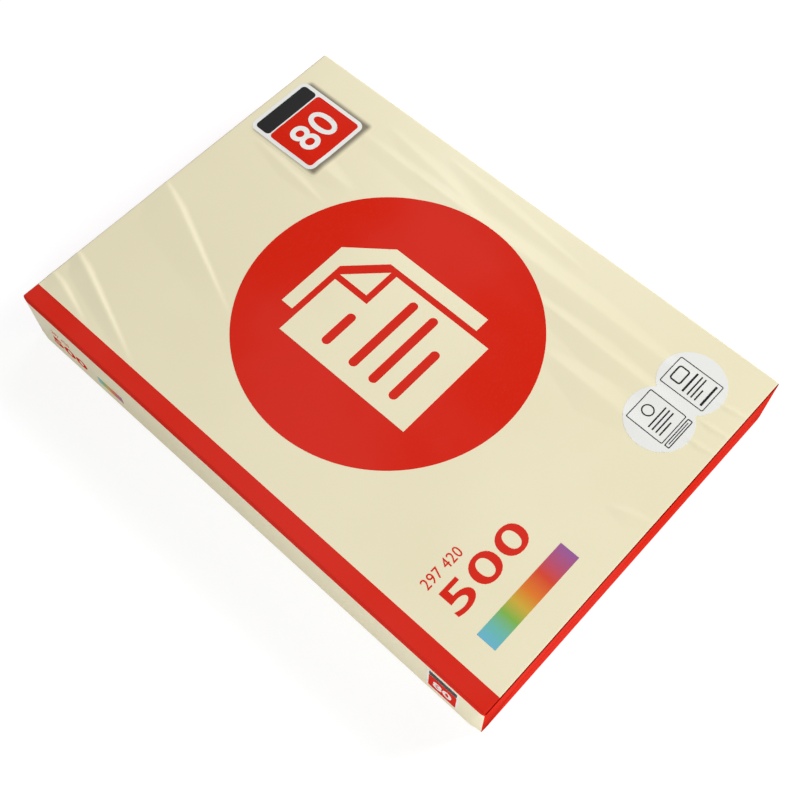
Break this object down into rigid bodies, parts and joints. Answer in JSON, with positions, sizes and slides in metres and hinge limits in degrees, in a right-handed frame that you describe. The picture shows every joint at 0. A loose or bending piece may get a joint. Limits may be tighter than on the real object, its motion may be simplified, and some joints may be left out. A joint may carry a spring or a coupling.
{
  "type": "ream of paper",
  "caption": "Sealed rectangular pack of large office paper in a printed paper wrapper, lying flat, its ends folded shut.",
  "frame": {"origin": "middle of the underside of the pack, on the surface it lies on", "axes": "+Z out of the label face, +Y along the long side towards the label's head, +X across the label to its right"},
  "size_m": [0.2976, 0.4214, 0.0516],
  "materials": {
    "wrapper": "coated wrapping paper, satin, printed in red on a cream ground"
  },
  "bodies": {
    "root": {"wrapped_ream": "wrapper"}
  },
  "joints": []
}
